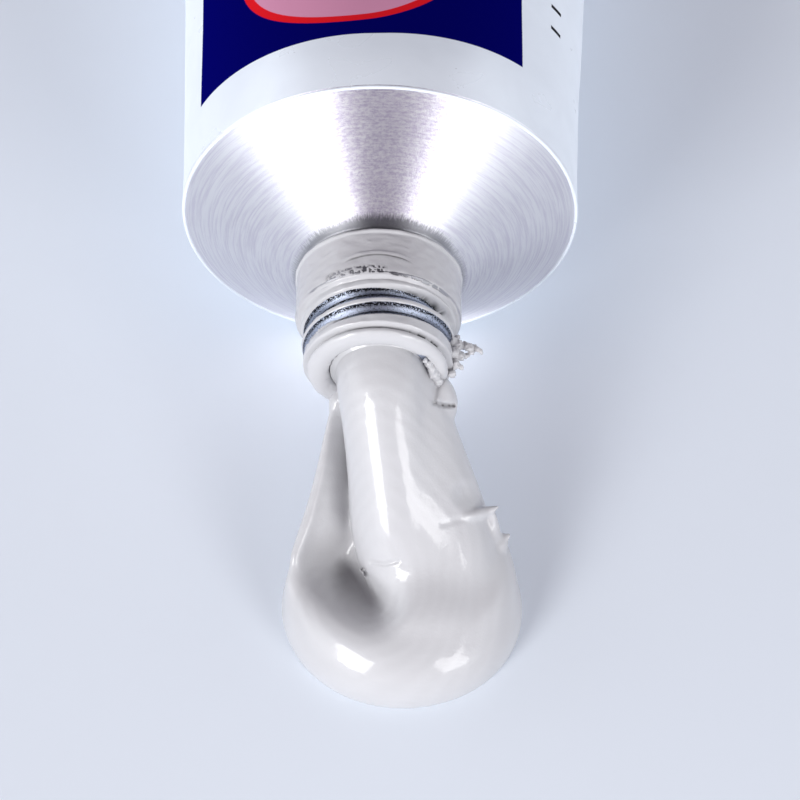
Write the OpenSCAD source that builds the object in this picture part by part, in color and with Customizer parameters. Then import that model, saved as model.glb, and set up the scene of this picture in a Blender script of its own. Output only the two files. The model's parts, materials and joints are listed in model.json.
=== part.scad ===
// Collapsible aluminium tube of thermal paste, lying on its side with paste squeezed out of its mouth.
// Millimetres. +Z is up, the table is z = 0, and the mouth points along -Y.

/* [Tube body] */
// Outer diameter of the round end of the tube, at the shoulder
tube_d = 19; // [16:0.5:30]
// Length of the body, from the shoulder's rim to the pressed end
body_l = 79; // [60:1:120]
// Wall of the soft body
body_wall = 0.12; // [0.1:0.01:0.2]
// Length of the thicker band behind the shoulder's rim
skirt_l = 0.9; // [0.7:0.1:2]
// How far the rim stands proud of the soft wall
rim_proud = 0.04; // [0.02:0.01:0.1]

/* [Shoulder] */
// Height of the cone, from the rim to the collar
cone_h = 3.7; // [2.5:0.1:6]
// Wall of the cone, and of the band behind the rim
shoulder_wall = 0.55; // [0.45:0.05:0.8]
// Radius of the rounded rim
rim_round = 0.35; // [0.1:0.05:0.4]

/* [Neck] */
// Diameter of the plain collar at the foot of the neck
collar_d = 7.7; // [7.2:0.1:9]
// Length of the collar
collar_l = 2.65; // [1:0.05:4]
// Length of the threaded end
thread_l = 2.8; // [2.4:0.1:7]
// Outer diameter of the thread
thread_d = 7; // [6.6:0.1:7.1]
// Distance from one turn of the thread to the next
thread_pitch = 1; // [0.8:0.1:1.2]
// Height of the thread above its core
thread_depth = 0.52; // [0.3:0.02:0.6]
// Diameter of the bore that the paste comes out of
bore_d = 4.6; // [3:0.1:4.8]
// Chamfer on the edges of the collar and the mouth
neck_chamfer = 0.15; // [0.05:0.05:0.2]

/* [Folded end] */
// Length of the fold, from the pressed end of the body to the tube's tail
fold_l = 4.4; // [3:0.1:8]
// Film of sealant between the two pressed walls
sealant_t = 0.04; // [0.02:0.01:0.1]
// Gap between the folded layers
fold_gap = 0.06; // [0.03:0.01:0.1]

/* [Paste] */
// Gap between the paste and the wall around it
paste_gap = 0.04; // [0.02:0.01:0.06]
// Width of the mound of paste on the table
mound_w = 11; // [8:0.5:14]
// Height of the mound
mound_h = 5.2; // [3:0.1:5.5]
// Distance from the mouth to the middle of the mound
mound_reach = 7.1; // [6:0.1:9]
// How far the mound lies to the right of the mouth
mound_shift = 1.15; // [0:0.05:2]
// Thickness of the strand of paste halfway between the mouth and the mound
strand_w = 5.8; // [4:0.1:6]

/* [Hidden] */

tube_r = tube_d / 2;
collar_r = collar_d / 2;
bore_r = bore_d / 2;
axis_z = tube_r;
collar_u = cone_h + collar_l;
mouth_u = collar_u + thread_l;

// the cone's side touches the rounded rim, so its slope follows from both
slope_x = tube_r - rim_round - collar_r;
slope_z = cone_h + rim_round;
cone_slope = atan2(slope_z, slope_x) - asin(rim_round / norm([slope_x, slope_z]));

// a round tube that is pressed flat keeps its way round, so its pressed end is half that wide
soft_r = tube_r - rim_proud;
press_w = PI * soft_r;
press_t = 2 * body_wall + sealant_t;
press_l = 0.5;
wedge_from = skirt_l / 2;
wedge_to = body_l - press_l;

core_r = thread_d / 2 - thread_depth;
band_r = tube_r - shoulder_wall;

// the ribbon of the fold leaves the pressed end from inside its outline
ribbon_inset = 0.02;
ribbon_t = press_t - 2 * ribbon_inset;
ribbon_w = press_w - 2 * ribbon_inset;
layer_step = ribbon_t + fold_gap;

// the object is centred on the origin, from the front of the mound to the tail of the tube
mound_r = mound_w / 2;
front_u = mouth_u + mound_reach + mound_r;
tail_u = -(body_l + fold_l);
rim_y = (front_u + tail_u) / 2;

round_fn = 96;
paste_fn = 32;

// Puts a shape that is drawn with its rim at z = 0 and its mouth upwards where the tube lies
module on_tube() translate([0, rim_y, axis_z]) rotate([90, 0, 0]) children();

// Height on the cone's outer face at radius r
function cone_u(r) = cone_h - (r - collar_r) * tan(cone_slope);

// Height at radius r on a face that lies t inside the cone's outer face
function under_cone_u(r, t) = cone_u(r) - t / cos(cone_slope);

// Points round an arc
function arc(centre, r, from, to, steps) = [
    for (i = [0:steps])
        let (a = from + (to - from) * i / steps)
        centre + r * [cos(a), sin(a)]
];

// How far the body has gone from round (0) to pressed flat (1) at a distance behind the rim
function pressed(back) = (back - wedge_from) / (wedge_to - wedge_from);

// Slab of the body's section, which runs l forward from a distance behind the rim:
// two circles that shrink and part as the tube is pressed flat on the table
module pressed_section(back, r, w, t, l, fn) {
    k = min(1, pressed(back));
    translate([0, (press_t / 2 - axis_z) * k, -back])
        for (side = [-1, 1])
            translate([side * k * (w - t) / 2, 0, 0])
                cylinder(r = r + (t / 2 - r) * k, h = l, $fn = fn);
}

// Closed solid through a list of rings that all have the same number of points
module loft(rings) {
    n = len(rings[0]);
    last = len(rings) - 1;
    polyhedron(
        points = [for (ring = rings) each ring],
        faces = concat(
            [[for (i = [0:n - 1]) i]],
            [[for (i = [n - 1:-1:0]) last * n + i]],
            [
                for (k = [0:last - 1], i = [0:n - 1])
                    let (a = k * n + i, b = k * n + (i + 1) % n)
                    each [[a, a + n, b + n], [a, b + n, b]]
            ]
        )
    );
}

// Turned end of the tube: rim, cone, collar and the neck's bored core
module shoulder() {
    rotate_extrude($fn = round_fn)
        polygon(concat(
            [[tube_r, -skirt_l]],
            arc([tube_r - rim_round, -rim_round], rim_round, 0, 90 - cone_slope, 6),
            [
                [collar_r, cone_h],
                [collar_r, collar_u - neck_chamfer],
                [collar_r - neck_chamfer, collar_u],
                [core_r, collar_u],
                [core_r, mouth_u - neck_chamfer],
                [core_r - neck_chamfer, mouth_u],
                [bore_r, mouth_u],
                [bore_r, under_cone_u(bore_r, shoulder_wall)],
                [band_r, under_cone_u(band_r, shoulder_wall)],
                [band_r, -skirt_l]
            ]
        ));
}

// Screw thread: one ridge wound round the core, which sinks into it at both ends
module thread() {
    foot_r = core_r - 0.2;
    foot_w = 0.8 * thread_pitch;
    crest_w = 0.25 * thread_pitch;
    turns = (thread_l - foot_w / 2 - neck_chamfer) / thread_pitch;
    steps = ceil(turns * 30);
    run_out = 0.3;
    loft([
        for (i = [0:steps])
            let (
                turn = turns * i / steps,
                spoke = [cos(360 * turn), sin(360 * turn)],
                rise = min(1, turn / run_out, (turns - turn) / run_out),
                crest_r = foot_r + 0.1 + (thread_d / 2 - foot_r - 0.1) * rise,
                u = collar_u + thread_pitch * turn
            )
            [
                [each foot_r * spoke, u - foot_w / 2],
                [each foot_r * spoke, u + foot_w / 2],
                [each crest_r * spoke, u + crest_w / 2],
                [each crest_r * spoke, u - crest_w / 2]
            ]
    ]);
}

// Thin wall of the body, from round at the rim to pressed flat at the tail
module soft_wall() {
    difference() {
        hull() {
            pressed_section(wedge_from, soft_r, press_w, press_t, wedge_from / 2, round_fn);
            pressed_section(body_l, soft_r, press_w, press_t, press_l, 8);
        }
        hull() {
            pressed_section(
                wedge_from, soft_r - body_wall, press_w - 2 * body_wall, sealant_t, wedge_from, round_fn
            );
            pressed_section(
                wedge_to, soft_r - body_wall, press_w - 2 * body_wall, sealant_t, press_l / 5, 8
            );
        }
    }
}

// The pressed end is rolled over twice: its ribbon goes back, over the top, and in again
module folded_end() {
    half = ribbon_t / 2;
    outer_bend = layer_step;
    inner_bend = layer_step / 2;
    rear = [fold_l - outer_bend - half, outer_bend];
    front = [half + inner_bend + 2 * fold_gap, 2 * layer_step - inner_bend];
    tuck_x = rear[0] - fold_gap - half;
    translate([-ribbon_w / 2, press_t / 2 - axis_z, -body_l])
        rotate([0, 90, 0])
            linear_extrude(ribbon_w)
                polygon(concat(
                    [[-press_l / 2, -half]],
                    arc(rear, outer_bend + half, -90, 90, 10),
                    arc(front, inner_bend + half, 90, 270, 8),
                    [[tuck_x, layer_step - half], [tuck_x, layer_step + half]],
                    arc(front, inner_bend - half, 270, 90, 4),
                    arc(rear, outer_bend - half, 90, -90, 6),
                    [[-press_l / 2, half]]
                ));
}

module tube() {
    color([0.86, 0.87, 0.89])
        on_tube() {
            shoulder();
            thread();
            soft_wall();
            folded_end();
        }
}

// Paste inside the tube, from where the walls close up to the mouth
module paste_fill() {
    inset = body_wall + paste_gap;
    front = skirt_l + paste_gap;
    rear = wedge_to - 3;
    cone_gap = shoulder_wall + paste_gap;
    color([0.78, 0.78, 0.77])
        on_tube() {
            hull() {
                pressed_section(
                    front + 0.5, soft_r - inset, press_w - 2 * inset, sealant_t - 2 * paste_gap, 0.5, round_fn
                );
                pressed_section(
                    rear, soft_r - inset, press_w - 2 * inset, sealant_t - 2 * paste_gap, 0.1, paste_fn
                );
            }
            rotate_extrude($fn = round_fn)
                polygon([
                    [0, -front - 1],
                    [band_r - paste_gap, -front - 1],
                    [band_r - paste_gap, under_cone_u(band_r - paste_gap, cone_gap)],
                    [bore_r - paste_gap, under_cone_u(bore_r - paste_gap, cone_gap)],
                    [bore_r - paste_gap, mouth_u],
                    [0, mouth_u]
                ]);
        }
}

// Point on a cubic curve through four handles
function curve(h, t) =
    pow(1 - t, 3) * h[0] + 3 * t * pow(1 - t, 2) * h[1] + 3 * t * t * (1 - t) * h[2] + pow(t, 3) * h[3];

// Way the curve runs at a point on it
function heading(h, t) =
    unit(pow(1 - t, 2) * (h[1] - h[0]) + 2 * t * (1 - t) * (h[2] - h[1]) + t * t * (h[3] - h[2]));

function unit(v) = v / norm(v);

function mix(a, b, k) = a + (b - a) * k;

// Strand that bends down from the mouth into the mound
module strand() {
    rings = 8;
    root_r = 0.6 * mound_r;
    middle = [mound_shift, -mound_reach, 0.4 * mound_h - axis_z];
    path = [
        [0, 0, 0],
        [0, -0.45 * mound_reach, 0],
        [mound_shift, -0.9 * mound_reach, 0.35 * middle[2]],
        middle
    ];
    rod_r = bore_r - paste_gap;
    loft([
        for (i = [0:rings])
            let (
                t = i / rings,
                along = heading(path, t),
                side = unit([-along[1], along[0], 0]),
                up = cross(along, side),
                r = t < 0.5 ? mix(rod_r, strand_w / 2, 2 * t) : mix(strand_w / 2, root_r, 2 * t - 1)
            )
            [
                for (j = [0:paste_fn - 1])
                    let (a = 360 * j / paste_fn)
                    curve(path, t) + r * (cos(a) * side + sin(a) * up)
            ]
    ]);
}

// Mound that the strand has folded into
module mound() {
    // height and radius of each level, as shares of the mound's own
    levels = [[0, 0.93], [0.12, 0.99], [0.25, 1], [0.45, 0.96], [0.7, 0.82], [0.9, 0.6], [0.99, 0.4]];
    hull()
        for (level = levels)
            translate([0, 0, level[0] * mound_h])
                cylinder(r = level[1] * mound_r, h = 0.01 * mound_h, $fn = paste_fn);
}

module paste_bead() {
    color([0.86, 0.86, 0.85])
        translate([0, rim_y - mouth_u, 0]) {
            translate([0, 0, axis_z]) strand();
            translate([mound_shift, -mound_reach, 0]) mound();
        }
}

tube();
paste_fill();
paste_bead();
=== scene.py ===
# Aluminium tube of thermal paste on a pale table, with paste squeezed out of its mouth.
import json
import math
import bpy
import numpy as np
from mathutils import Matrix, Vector, noise


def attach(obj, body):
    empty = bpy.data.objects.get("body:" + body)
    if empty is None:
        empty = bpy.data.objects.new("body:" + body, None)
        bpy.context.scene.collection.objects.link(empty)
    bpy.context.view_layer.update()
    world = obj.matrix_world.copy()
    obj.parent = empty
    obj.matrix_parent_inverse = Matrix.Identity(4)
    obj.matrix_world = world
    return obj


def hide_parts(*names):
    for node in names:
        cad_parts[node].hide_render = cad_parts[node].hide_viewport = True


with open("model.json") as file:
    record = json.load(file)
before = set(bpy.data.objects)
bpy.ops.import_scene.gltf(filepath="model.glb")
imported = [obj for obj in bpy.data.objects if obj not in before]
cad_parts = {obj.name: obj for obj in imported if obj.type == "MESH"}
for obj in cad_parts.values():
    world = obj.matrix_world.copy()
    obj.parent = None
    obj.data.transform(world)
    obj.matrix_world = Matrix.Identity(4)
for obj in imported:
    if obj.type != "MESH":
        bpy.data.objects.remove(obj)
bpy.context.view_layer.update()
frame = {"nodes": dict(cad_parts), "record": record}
print("frame loaded:", sorted(frame["nodes"]))

# Pieces are modelled in millimetres, and toFrame() brings each one to metres at the end.
neckMount = [m for m in frame["record"]["mounts"] if m["name"] == "neck_thread"][0]
mouthY = neckMount["pos_m"][1] * 1000      # plane of the tube's mouth
axisZ = neckMount["pos_m"][2] * 1000       # height of the tube's axis over the table


def deselectAll():
    if bpy.context.object and bpy.context.object.mode != "OBJECT":
        bpy.ops.object.mode_set(mode="OBJECT")
    bpy.ops.object.select_all(action="DESELECT")


def pick(*pieces):
    deselectAll()
    for piece in pieces:
        piece.select_set(True)
    bpy.context.view_layer.objects.active = pieces[0]


def joinPieces(*pieces):
    pick(*pieces)
    bpy.ops.object.join()
    return pieces[0]


def applyModifier(piece, kind, **settings):
    pick(piece)
    modifier = piece.modifiers.new(kind.lower(), kind)
    for name, value in settings.items():
        setattr(modifier, name, value)
    bpy.ops.object.modifier_apply(modifier=modifier.name)


def smoothStep(low, high, value):
    t = min(1, max(0, (value - low) / (high - low)))
    return t * t * (3 - 2 * t)


def mixed(a, b, k):
    return a + (b - a) * k


def ripple(x, y, z, seed=0):
    # smooth noise from about -1 to 1, the same on every run
    return noise.noise(Vector((x + seed * 17.3, y - seed * 11.1, z + seed * 5.7)))


def ringTube(name, rings, around, place):
    # a circle is extruded ring by ring, and place(ring, turn) then puts each point; turn 0 is the top
    deselectAll()
    bpy.ops.mesh.primitive_circle_add(vertices=around, radius=1, fill_type="NOTHING",
                                      rotation=(math.pi / 2, 0, 0))
    bpy.ops.object.transform_apply()
    piece = bpy.context.object
    piece.name = name
    bpy.ops.object.mode_set(mode="EDIT")
    bpy.ops.mesh.select_all(action="SELECT")
    bpy.ops.mesh.extrude_repeat(steps=rings - 1, offset=(0, -1, 0))
    bpy.ops.object.mode_set(mode="OBJECT")
    marks = []
    for vertex in piece.data.vertices:
        ring = round(-vertex.co.y)
        turn = round(math.atan2(vertex.co.x, vertex.co.z) / (2 * math.pi) * around) / around
        marks.append((ring, turn))
        vertex.co = place(ring, turn)
    return piece, marks


def addMap(piece, marks, spot):
    # spot(ring, turn) gives the way round and the way along, in millimetres; the map is in tenths of a metre
    layer = piece.data.uv_layers.new(name="surfaceMap")
    for polygon in piece.data.polygons:
        turns = [marks[v][1] for v in polygon.vertices]
        for loop in polygon.loop_indices:
            ring, turn = marks[piece.data.loops[loop].vertex_index]
            if max(turns) - min(turns) > 0.5 and turn < 0:
                turn += 1
            layer.data[loop].uv = [way / 100 for way in spot(ring, turn)]


def cleanMesh(piece, fill=False):
    pick(piece)
    bpy.ops.object.mode_set(mode="EDIT")
    bpy.ops.mesh.select_all(action="SELECT")
    if fill:
        bpy.ops.mesh.fill_holes(sides=0)
    bpy.ops.mesh.normals_make_consistent(inside=False)
    bpy.ops.object.mode_set(mode="OBJECT")


def toFrame(piece, name, material, smoothAngle=None):
    # millimetres to metres, with the place kept in the mesh
    pick(piece)
    piece.name = name
    piece.data.name = name
    piece.scale = (0.001, 0.001, 0.001)
    bpy.ops.object.transform_apply(location=True, rotation=True, scale=True)
    if smoothAngle:
        bpy.ops.object.shade_smooth_by_angle(angle=math.radians(smoothAngle))
    else:
        bpy.ops.object.shade_smooth()
    if material:
        piece.data.materials.clear()
        piece.data.materials.append(material)
    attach(piece, "root")
    print("made", name, len(piece.data.polygons), "faces")


def addNode(tree, kind, inputs=None, **settings):
    made = tree.nodes.new("ShaderNode" + kind)
    for name, value in settings.items():
        setattr(made, name, value)
    for key, value in (inputs or {}).items():
        if isinstance(value, bpy.types.NodeSocket):
            tree.links.new(value, made.inputs[key])
        else:
            made.inputs[key].default_value = value
    return made


def newMaterial(name, **shader):
    material = bpy.data.materials.new(name)
    material.use_nodes = True
    principled = material.node_tree.nodes["Principled BSDF"]
    for key, value in shader.items():
        principled.inputs[key].default_value = value
    return material, material.node_tree, principled


def maths(tree, operation, a, b=0.0):
    return addNode(tree, "Math", {0: a, 1: b}, operation=operation).outputs[0]


def times(tree, a, b):
    return maths(tree, "MULTIPLY", a, b)


def plus(tree, a, b):
    return maths(tree, "ADD", a, b)


def minus(tree, a, b):
    return maths(tree, "SUBTRACT", a, b)


def larger(tree, a, b):
    return maths(tree, "MAXIMUM", a, b)


def rise(tree, value, low, high):
    # 0 below low and 1 above high
    spread = addNode(tree, "MapRange", {"Value": value, "From Min": low, "From Max": high},
                     interpolation_type="SMOOTHSTEP")
    return spread.outputs["Result"]


def band(tree, value, low, high, soft=0.03):
    # 1 between low and high, with a soft edge
    inside = rise(tree, value, low - soft, low + soft)
    outside = rise(tree, value, high - soft, high + soft)
    return minus(tree, inside, outside)


def blendColours(tree, factor, a, b):
    return addNode(tree, "Mix", {"Factor": factor, 6: a, 7: b}, data_type="RGBA").outputs[2]


def blendLevels(tree, factor, a, b):
    return addNode(tree, "Mix", {"Factor": factor, 2: a, 3: b}).outputs[0]


def combine(tree, **parts):
    return addNode(tree, "CombineXYZ", parts).outputs[0]


def lengthOf(tree, vector):
    return addNode(tree, "VectorMath", {0: vector}, operation="LENGTH").outputs["Value"]


def noiseOver(tree, vector, detail, roughness):
    inputs = {"Vector": vector, "Scale": 1.0, "Detail": detail, "Roughness": roughness}
    return addNode(tree, "TexNoise", inputs).outputs["Fac"]


def addBump(tree, height, strength, distance, socket):
    bump = addNode(tree, "Bump", {"Height": height, "Strength": strength, "Distance": distance})
    tree.links.new(bump.outputs["Normal"], socket)


def millimetres(tree):
    place = addNode(tree, "TexCoord").outputs["Object"]
    return addNode(tree, "Mapping", {"Vector": place, "Scale": (1000, 1000, 1000)}).outputs["Vector"]


def grainGroup():
    # fine grain and long soft streaks, shared by the metal, the enamel and the paste
    group = bpy.data.node_groups.new("grainAndStreaks", "ShaderNodeTree")
    group.interface.new_socket("Vector", in_out="INPUT", socket_type="NodeSocketVector")
    for name, value in (("Grain Scale", 8.0), ("Streak Scale", 1.0), ("Detail", 3.0)):
        group.interface.new_socket(name, in_out="INPUT", socket_type="NodeSocketFloat").default_value = value
    for name in ("Grain", "Streaks"):
        group.interface.new_socket(name, in_out="OUTPUT", socket_type="NodeSocketFloat")
    start = group.nodes.new("NodeGroupInput")
    end = group.nodes.new("NodeGroupOutput")
    given = start.outputs
    shared = {"Vector": given["Vector"], "Detail": given["Detail"]}
    grain = addNode(group, "TexNoise", {**shared, "Scale": given["Grain Scale"], "Roughness": 0.6})
    streaks = addNode(group, "TexNoise", {**shared, "Scale": given["Streak Scale"], "Distortion": 0.4})
    group.links.new(grain.outputs["Fac"], end.inputs["Grain"])
    group.links.new(streaks.outputs["Fac"], end.inputs["Streaks"])
    return group


grainAndStreaks = grainGroup()


def addGrain(tree, vector, grainScale, streakScale, detail=3.0):
    made = tree.nodes.new("ShaderNodeGroup")
    made.node_tree = grainAndStreaks
    tree.links.new(vector, made.inputs["Vector"])
    made.inputs["Grain Scale"].default_value = grainScale
    made.inputs["Streak Scale"].default_value = streakScale
    made.inputs["Detail"].default_value = detail
    return made.outputs["Grain"], made.outputs["Streaks"]


def pointing(turn, height):
    # towards the front at turn 0, and up by height; both are in radians
    return Vector((math.sin(turn) * math.cos(height), -math.cos(turn) * math.cos(height), math.sin(height)))


# Camera, from the photograph: the rim, the collar and the mouth give its height, distance and lens.
cameraSetup = {
    "lookAt": (1.04, mouthY - 1.5, axisZ),
    "distance": 115.5,
    "elevation": 55.5,
    "turn": 0.4,
    "fieldOfView": 18.0,
}


def makeCamera(setup):
    elevation, turn = math.radians(setup["elevation"]), math.radians(setup["turn"])
    place = (Vector(setup["lookAt"]) + setup["distance"] * pointing(turn, elevation)) * 0.001
    bpy.ops.object.camera_add(location=place, rotation=(math.pi / 2 - elevation, 0, turn))
    camera = bpy.context.object
    camera.name = "photoCamera"
    camera.data.angle = math.radians(setup["fieldOfView"])
    camera.data.clip_start = 0.01
    bpy.context.scene.camera = camera


makeCamera(cameraSetup)


# Body of the tube: round at the rim, pressed flat at the tail, with a few shallow dents.
bodySizes = {
    "length": 79.0,
    "wall": 0.12,
    "proudRim": 0.04,
    "enamelOver": 0.004,
    "enamelFrom": 0.06,
    "easeIn": 2.5,
    "edgeBead": 0.085,
    "bandLength": 0.9,
    "bandWall": 0.55,
    "pressedThickness": 0.28,
    "pressedLength": 0.5,
    "dentDepth": 0.35,
    "dentSize": 13.0,
    "dentsStart": (2, 14),
    "dentsEnd": (62, 77),
}
shoulderSizes = {
    "coneHeight": 3.7,
    "rimRound": 0.08,
    "wall": 0.55,
    "collarRadius": 3.85,
    "collarLength": 2.65,
    "cornerRadius": 0.12,
    "cornerRise": 0.18,
    "bandInset": 0.06,
    "coreRadius": 2.98,
    "threadRadius": 3.5,
    "threadLength": 2.8,
    "threadEnds": 0.55,
    "toothHalf": 0.36,
    "pitch": 1.0,
    "boreRadius": 2.3,
    "chamfer": 0.15,
}
collarEnd = shoulderSizes["coneHeight"] + shoulderSizes["collarLength"]
mouthUp = collarEnd + shoulderSizes["threadLength"]
rimY = mouthY + mouthUp
rimRadius = axisZ
softRadius = rimRadius - bodySizes["proudRim"]
pressedWidth = math.pi * softRadius
wedgeFrom = bodySizes["bandLength"] / 2
wedgeTo = bodySizes["length"] - bodySizes["pressedLength"]


def dent(x, back, z):
    # broad shallow hollows with soft creases; the underside and both ends stay true
    size = bodySizes["dentSize"]
    wave = ripple(x / size, back / size, z / size, seed=2)
    crease = 1 - min(1, 5 * abs(ripple(x / size, back / (1.6 * size), z / size, seed=5)))
    fade = smoothStep(*bodySizes["dentsStart"], back) * (1 - smoothStep(*bodySizes["dentsEnd"], back))
    fade *= smoothStep(0.5, 3.5, z)
    return -bodySizes["dentDepth"] * fade * (max(0, wave) + 0.25 * crease)


def pressedPoint(turn, back, inset=0.0):
    # two circles that shrink and part as the tube is pressed flat keep the way round the same
    ease = bodySizes["easeIn"]
    start = min(ease, max(0, back - wedgeFrom))
    gone = start * start / (2 * ease) + max(0, back - wedgeFrom - ease)
    k = min(1, gone / (wedgeTo - wedgeFrom - ease / 2))
    half = bodySizes["pressedThickness"] / 2
    endRadius = mixed(softRadius, half, k)
    apart = k * (pressedWidth / 2 - half)
    way = abs(turn) * (2 * math.pi * endRadius + 4 * apart)
    a = min(math.pi, max(0, (way - apart) / endRadius))
    x = min(way, apart) + endRadius * math.sin(a) - max(0, way - apart - math.pi * endRadius)
    normal = Vector((math.copysign(math.sin(a), turn), 0, math.cos(a)))
    point = Vector((math.copysign(x, turn), rimY + back, mixed(axisZ, half, k) + endRadius * math.cos(a)))
    return point + (dent(point.x, back, point.z) - inset) * normal


def makeBody(rings=110, around=256):
    first = bodySizes["enamelFrom"]
    proud = bodySizes["proudRim"] + bodySizes["enamelOver"]

    def backAt(ring):
        # the rings lie closer together near the rim
        return first + (bodySizes["length"] - first) * ((rings - 1 - ring) / (rings - 1)) ** 1.25

    def place(ring, turn):
        # over the band behind the rim the enamel stands out as far as the metal
        back = backAt(ring)
        return pressedPoint(turn, back, inset=-proud * (1 - smoothStep(1, 9, back)))

    body, marks = ringTube("body", rings, around, place)
    addMap(body, marks, lambda ring, turn: (turn * 2 * math.pi * softRadius, backAt(ring)))
    cleanMesh(body)
    applyModifier(body, "SOLIDIFY", thickness=bodySizes["wall"], offset=-1.0)
    return body


def makeEdgeBead():
    # the enamel ends in a thin rolled edge round the shoulder
    deselectAll()
    thick = bodySizes["edgeBead"]
    bpy.ops.mesh.primitive_torus_add(major_radius=rimRadius - thick, minor_radius=thick, major_segments=256,
                                     minor_segments=12, rotation=(math.pi / 2, 0, 0),
                                     location=(0, rimY - 0.02, axisZ))
    bpy.ops.object.transform_apply()
    bead = bpy.context.object
    bead.data.uv_layers[0].name = "surfaceMap"
    for loop in bead.data.uv_layers[0].data:
        loop.uv = (0.2, 0.01)       # plain enamel, clear of the print
    return bead


def latheProfile():
    # closed outline of the turned end, as (radius, way up from the rim)
    s = shoulderSizes
    slopeX = rimRadius - s["rimRound"] - s["collarRadius"]
    slopeZ = s["coneHeight"] + s["rimRound"]
    slope = math.atan2(slopeZ, slopeX) - math.asin(s["rimRound"] / math.hypot(slopeX, slopeZ))

    def coneUp(radius, inside=0.0):
        return s["coneHeight"] - (radius - s["collarRadius"]) * math.tan(slope) - inside / math.cos(slope)

    bandRadius = rimRadius - s["bandInset"]
    outline = [(bandRadius, -bodySizes["bandLength"]), (bandRadius, -0.15)]
    for step in range(9):
        a = (math.pi / 2 - slope) * step / 8
        outline.append((rimRadius - s["rimRound"] * (1 - math.cos(a)), -s["rimRound"] * (1 - math.sin(a))))
    coneFrom, coneTo = outline[-1][0], s["collarRadius"] + s["cornerRadius"]
    for step in range(1, 25):
        radius = mixed(coneFrom, coneTo, step / 24)
        outline.append((radius, coneUp(radius)))
    for step in range(1, 7):        # the corner where the cone meets the collar is a small hollow curve
        a = step / 6 * math.pi / 2
        up = mixed(coneUp(coneTo), coneUp(coneTo) + s["cornerRise"], 1 - math.cos(a))
        outline.append((coneTo - s["cornerRadius"] * math.sin(a), up))
    c = s["chamfer"]
    innerBand = rimRadius - bodySizes["bandWall"]
    outline += [
        (s["collarRadius"], collarEnd - 1), (s["collarRadius"], collarEnd - c),
        (s["collarRadius"] - c, collarEnd),
        (s["coreRadius"] + 0.1, collarEnd), (s["coreRadius"], collarEnd + 0.1),
        (s["coreRadius"], mouthUp - 1), (s["coreRadius"], mouthUp - c), (s["coreRadius"] - c, mouthUp),
        (s["boreRadius"] + 0.05, mouthUp), (s["boreRadius"], mouthUp - 0.05),
        (s["boreRadius"], coneUp(s["boreRadius"], s["wall"])), (innerBand, coneUp(innerBand, s["wall"])),
        (innerBand, -bodySizes["bandLength"]),
    ]
    return outline


def makeShoulder(around=256):
    outline = latheProfile()
    ways = [0.0]
    for (r0, u0), (r1, u1) in zip(outline, outline[1:]):
        ways.append(ways[-1] + math.hypot(r1 - r0, u1 - u0))

    def place(ring, turn):
        radius, up = outline[ring]
        a = 2 * math.pi * turn
        return Vector((radius * math.sin(a), rimY - up, axisZ + radius * math.cos(a)))

    shoulder, marks = ringTube("shoulder", len(outline), around, place)
    addMap(shoulder, marks, lambda ring, turn: (turn * 40, ways[ring]))
    pick(shoulder)
    bpy.ops.object.mode_set(mode="EDIT")
    bpy.ops.mesh.select_all(action="DESELECT")
    bpy.ops.mesh.select_mode(type="EDGE")
    bpy.ops.mesh.select_non_manifold()
    bpy.ops.mesh.bridge_edge_loops()        # the ring behind the rim
    bpy.ops.object.mode_set(mode="OBJECT")
    cleanMesh(shoulder)
    return shoulder


def makeThread(around=10, stepsPerTurn=72):
    s = shoulderSizes
    foot = s["coreRadius"] - 0.1
    turns = (s["threadLength"] - s["threadEnds"]) / s["pitch"]
    rings = round(turns * stepsPerTurn)

    def place(ring, turn):
        done = ring / (rings - 1) * turns
        sink = min(1, done / 0.3, (turns - done) / 0.3)
        a = 2 * math.pi * turn
        radius = foot + (s["threadRadius"] - foot) * sink * (0.5 + 0.5 * math.cos(a)) ** 0.7
        up = collarEnd + s["pitch"] * done + s["toothHalf"] * math.sin(a)
        way = 2 * math.pi * done
        return Vector((radius * math.cos(way), rimY - up, axisZ + radius * math.sin(way)))

    thread, marks = ringTube("thread", rings, around, place)
    addMap(thread, marks, lambda ring, turn: (ring / stepsPerTurn * 40, turn))
    cleanMesh(thread, fill=True)
    return thread


foldSizes = {"length": 4.4, "inset": 0.02, "gap": 0.06, "crimpDepth": 0.03, "crimpPitch": 0.9}


def foldLine():
    # the ribbon's middle line, as (way back from the pressed end, height over its own middle)
    thick = bodySizes["pressedThickness"] - 2 * foldSizes["inset"]
    step = thick + foldSizes["gap"]
    rear = foldSizes["length"] - step - thick / 2
    front = thick / 2 + step / 2 + 2 * foldSizes["gap"]
    line = [(-0.3, 0.0)] + [(rear * k / 6, 0.0) for k in range(1, 7)]
    for k in range(1, 10):
        a = math.pi * k / 10
        line.append((rear + step * math.sin(a), step - step * math.cos(a)))
    line += [(mixed(rear, front, k / 6), 2 * step) for k in range(7)]
    for k in range(1, 8):
        a = math.pi * k / 8
        line.append((front - step / 2 * math.sin(a), 1.5 * step + step / 2 * math.cos(a)))
    line += [(mixed(front, rear - foldSizes["gap"] - thick / 2, k / 5), step) for k in range(6)]
    return line, thick


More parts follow.
